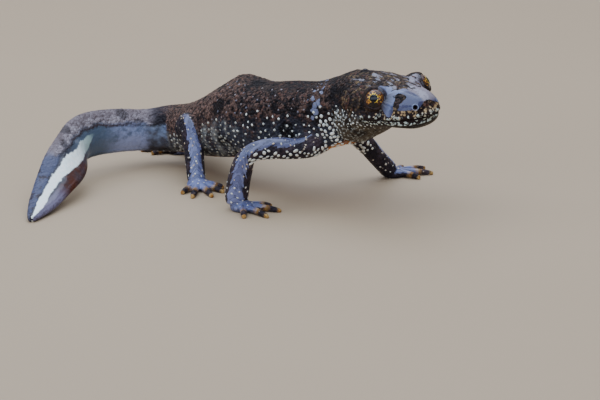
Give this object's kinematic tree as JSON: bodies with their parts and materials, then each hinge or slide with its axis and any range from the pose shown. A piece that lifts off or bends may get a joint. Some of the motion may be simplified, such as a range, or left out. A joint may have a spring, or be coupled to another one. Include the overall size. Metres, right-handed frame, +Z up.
{
  "type": "great crested newt",
  "caption": "Life-size still model of a walking great crested newt, a dark warty salamander with a deep body, a flattened tail bent round to one side and splayed feet.",
  "frame": {"origin": "on the floor, under the middle of the outer box", "axes": "+X towards the snout's side, across the first view; +Y away from the first view, towards the hips; +Z up"},
  "size_m": [0.0664, 0.056, 0.0223],
  "materials": {
    "skin_back": "wet, warty, brown-black skin with black blotches and white granules on the flanks",
    "skin_throat": "wet grey-olive throat skin with dense whitish mottling",
    "skin_tail": "wet dark tail skin with a silvery white band along the side",
    "skin_leg": "wet dark leg skin with cream warts and orange toe tips",
    "eye": "glossy eye with a gold-orange iris and a black round pupil"
  },
  "bodies": {
    "root": {"head": "skin_back", "lower_jaw": "skin_throat", "neck": "skin_back", "trunk_front": "skin_back", "trunk_rear": "skin_back", "tail_root": "skin_tail", "tail_base": "skin_tail", "tail_middle": "skin_tail", "tail_end": "skin_tail", "front_right_leg": "skin_leg", "front_right_foot": "skin_leg", "front_left_leg": "skin_leg", "front_left_foot": "skin_leg", "hind_right_leg": "skin_leg", "hind_right_foot": "skin_leg", "hind_left_leg": "skin_leg", "hind_left_foot": "skin_leg", "eye_left": "eye", "eye_right": "eye"}
  },
  "joints": []
}
